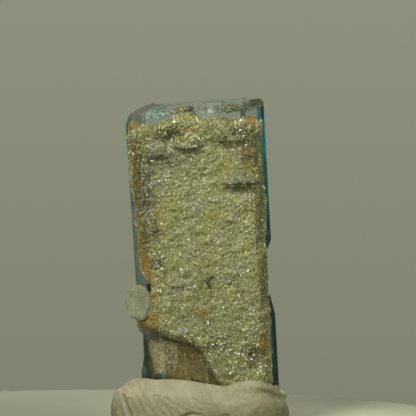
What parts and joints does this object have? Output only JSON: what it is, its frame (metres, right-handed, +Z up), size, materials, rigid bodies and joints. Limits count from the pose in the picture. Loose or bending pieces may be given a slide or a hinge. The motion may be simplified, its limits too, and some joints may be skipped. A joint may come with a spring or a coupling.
{
  "type": "aquamarine on muscovite",
  "caption": "Flattened blue-green aquamarine prism coated front and back with sparkling yellow-green muscovite, held upright in a roll of beige mineral putty.",
  "frame": {"origin": "centre of the bounding box at the level of the putty's underside", "axes": "+Z up, roughly along the crystal; the coated broad face that the picture shows looks along -Y; +X to the picture's right"},
  "size_m": [0.0152, 0.0108, 0.0279],
  "materials": {
    "aquamarine_beryl": "clear blue-green crystal faces with fine growth steps, glassy",
    "muscovite_druse": "crust of tiny glittering mica flakes, silvery yellow-green with iron stains",
    "muscovite_sheet": "pale translucent mica sheet with a pearly lustre",
    "schorl_black": "black, glassy needles",
    "mineral_putty": "matt beige putty with finger marks"
  },
  "bodies": {
    "root": {"aquamarine": "aquamarine_beryl", "muscovite_front": "muscovite_druse", "muscovite_back": "muscovite_druse", "muscovite_plate": "muscovite_sheet", "schorl_grain": "schorl_black", "schorl_sprig": "schorl_black", "mounting_putty": "mineral_putty"}
  },
  "joints": []
}
